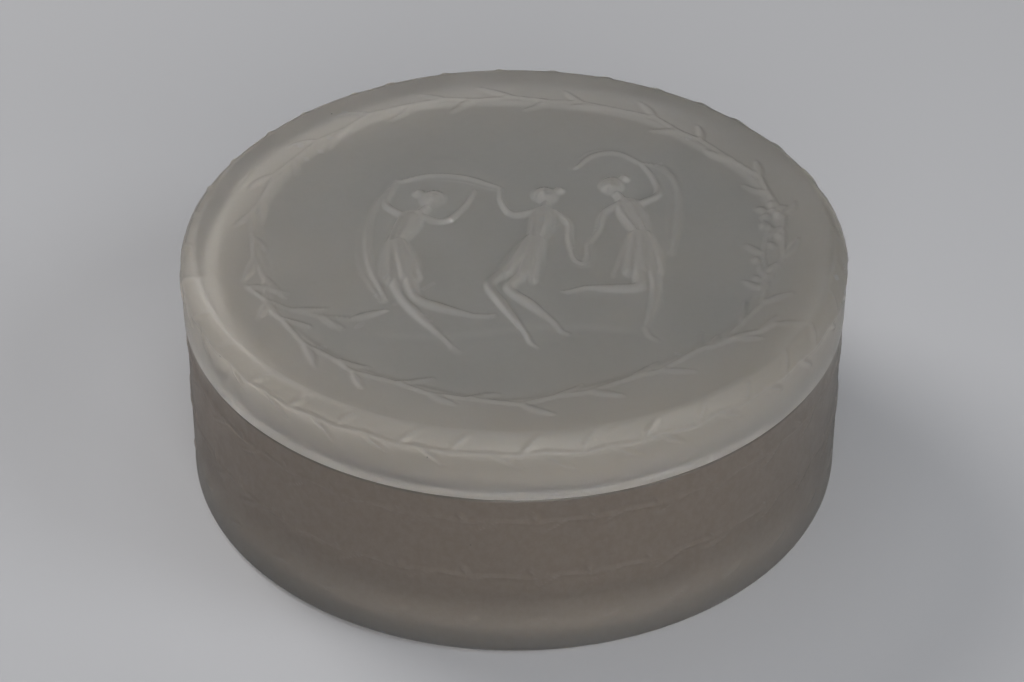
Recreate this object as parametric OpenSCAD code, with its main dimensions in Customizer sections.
// Round lidded box in satin glass: a thick-walled dish and a loose lid that drops over its collar.
// Millimetres, +Z up. The origin is the centre of the circle that the foot rests on.

/* [Box] */
// Outside diameter of the lid, which is the widest part of the box
lid_d = 96; // [90:1:110]
// Height of the closed box, from the table to the ridge of the lid
box_h = 37.3; // [36:0.1:42]
// Height of the ledge on the dish that the lid rests on
ledge_h = 27.3; // [24:0.1:28]

/* [Dish] */
// How much wider the lid is than the foot of the dish, measured on the diameter
foot_inset = 0.2; // [0:0.1:1]
// How much wider the dish is at its foot than at its ledge, measured on the diameter
wall_draft = 0.3; // [0:0.1:1]
// Thickness of the side wall at the ledge
wall_t = 5.4; // [4.8:0.1:7]
// Thickness of the floor
floor_t = 5; // [4:0.1:7]
// Radius of the curve between the floor and the inside of the wall
well_round = 4; // [2:0.5:6]
// Radius of the rounded bottom edge
foot_round = 1; // [0.5:0.1:2]
// Diameter of the shallow hollow under the foot
hollow_d = 80; // [60:1:84]
// Depth of the shallow hollow under the foot
hollow_depth = 0.6; // [0.3:0.1:1.2]

/* [Collar] */
// Width of the ledge outside the collar
ledge_w = 3.4; // [3:0.1:3.6]
// Height of the collar above the ledge
collar_h = 3; // [2:0.1:3.5]
// Gap between the collar and the inside of the lid's skirt
collar_gap = 0.4; // [0.2:0.1:0.6]
// Gap left between the ledge and the lid's lower edge
seat_gap = 0.05; // [0.02:0.01:0.1]

/* [Lid] */
// Thickness of the lid's top
top_t = 4.5; // [3.5:0.1:5]
// Height of the rounded shoulder between the side and the ridge
shoulder_h = 3.2; // [2.5:0.1:4]
// Distance from the side in to the ridge
shoulder_w = 2.2; // [1.5:0.1:2.4]
// Radius of the rounding where the top meets the skirt inside
recess_round = 2; // [1:0.1:2.4]
// Diameter of the sunk field in the middle of the top
field_d = 76; // [60:1:84]
// Depth of the sunk field
field_depth = 0.35; // [0.2:0.05:0.6]
// Width of the slope around the sunk field
field_slope = 1.5; // [0.5:0.1:3]
// Radius of the softened edges at the joint between the lid and the dish
edge_round = 0.5; // [0.3:0.1:0.8]

/* [Hidden] */
$fn = 180;
// Overrun that keeps a cutter's faces clear of the faces that it cuts
cut = 1;

lid_r = lid_d / 2;
foot_r = lid_r - foot_inset / 2;
ledge_r = foot_r - wall_draft / 2;
well_r = ledge_r - wall_t;
collar_r = ledge_r - ledge_w;
collar_top = ledge_h + collar_h;
skirt_inner_r = collar_r + collar_gap;
skirt_z = ledge_h + seat_gap;
shoulder_z = box_h - shoulder_h;
// Radius of the arc that leaves the side upright and passes through the ridge
shoulder_r = (shoulder_w * shoulder_w + shoulder_h * shoulder_h) / (2 * shoulder_w);
shoulder_x = lid_r - shoulder_r;
recess_z = box_h - top_t;
dish_color = [0.46, 0.43, 0.40, 0.9];
lid_color = [0.62, 0.60, 0.56, 0.9];

// Every 2D module draws half of a cross-section, with x as the radius and y as the height.

// What rounding takes off a square corner at [x, y]. out_x and out_y are 1 or -1 and point out of the solid.
module corner_loss(x, y, r, out_x, out_y) {
    translate([x, y])
        mirror([out_x > 0 ? 0 : 1, 0])
            mirror([0, out_y > 0 ? 0 : 1])
                difference() {
                    translate([-r, -r])
                        square(r + cut);
                    translate([-r, -r])
                        circle(r);
                }
}

module dish_outside() {
    polygon([
        [0, 0],
        [foot_r, 0],
        [ledge_r, ledge_h],
        [collar_r, ledge_h],
        [collar_r, collar_top],
        [0, collar_top]
    ]);
}

module well() {
    difference() {
        translate([0, floor_t])
            square([well_r, collar_top - floor_t + cut]);
        corner_loss(well_r, floor_t, well_round, 1, -1);
    }
}

// Its edge slopes at 45 degrees and meets the foot at hollow_d.
module foot_hollow() {
    polygon([
        [0, -cut],
        [hollow_d / 2 + cut, -cut],
        [hollow_d / 2 - hollow_depth, hollow_depth],
        [0, hollow_depth]
    ]);
}

module dish_profile() {
    difference() {
        dish_outside();
        well();
        foot_hollow();
        corner_loss(foot_r, 0, foot_round, 1, -1);
        corner_loss(ledge_r, ledge_h, edge_round, 1, 1);
        corner_loss(collar_r, collar_top, edge_round, 1, 1);
        corner_loss(well_r, collar_top, edge_round, -1, 1);
    }
}

module dish() {
    color(dish_color)
        rotate_extrude()
            dish_profile();
}

module lid_outside() {
    translate([0, skirt_z])
        square([lid_r, shoulder_z - skirt_z]);
    intersection() {
        union() {
            translate([shoulder_x, shoulder_z])
                circle(shoulder_r);
            square([shoulder_x, box_h]);
        }
        translate([0, shoulder_z - cut])
            square([lid_r, shoulder_h + cut]);
    }
}

module lid_recess() {
    difference() {
        translate([0, skirt_z - cut])
            square([skirt_inner_r, recess_z - skirt_z + cut]);
        corner_loss(skirt_inner_r, recess_z, recess_round, 1, 1);
    }
}

module sunk_field() {
    polygon([
        [0, box_h - field_depth],
        [field_d / 2 - field_slope, box_h - field_depth],
        [field_d / 2, box_h],
        [field_d / 2, box_h + cut],
        [0, box_h + cut]
    ]);
}

module lid_profile() {
    difference() {
        lid_outside();
        lid_recess();
        sunk_field();
        corner_loss(lid_r, skirt_z, edge_round, 1, -1);
        corner_loss(skirt_inner_r, skirt_z, edge_round, -1, -1);
    }
}

module lid() {
    color(lid_color)
        rotate_extrude()
            lid_profile();
}

dish();
lid();
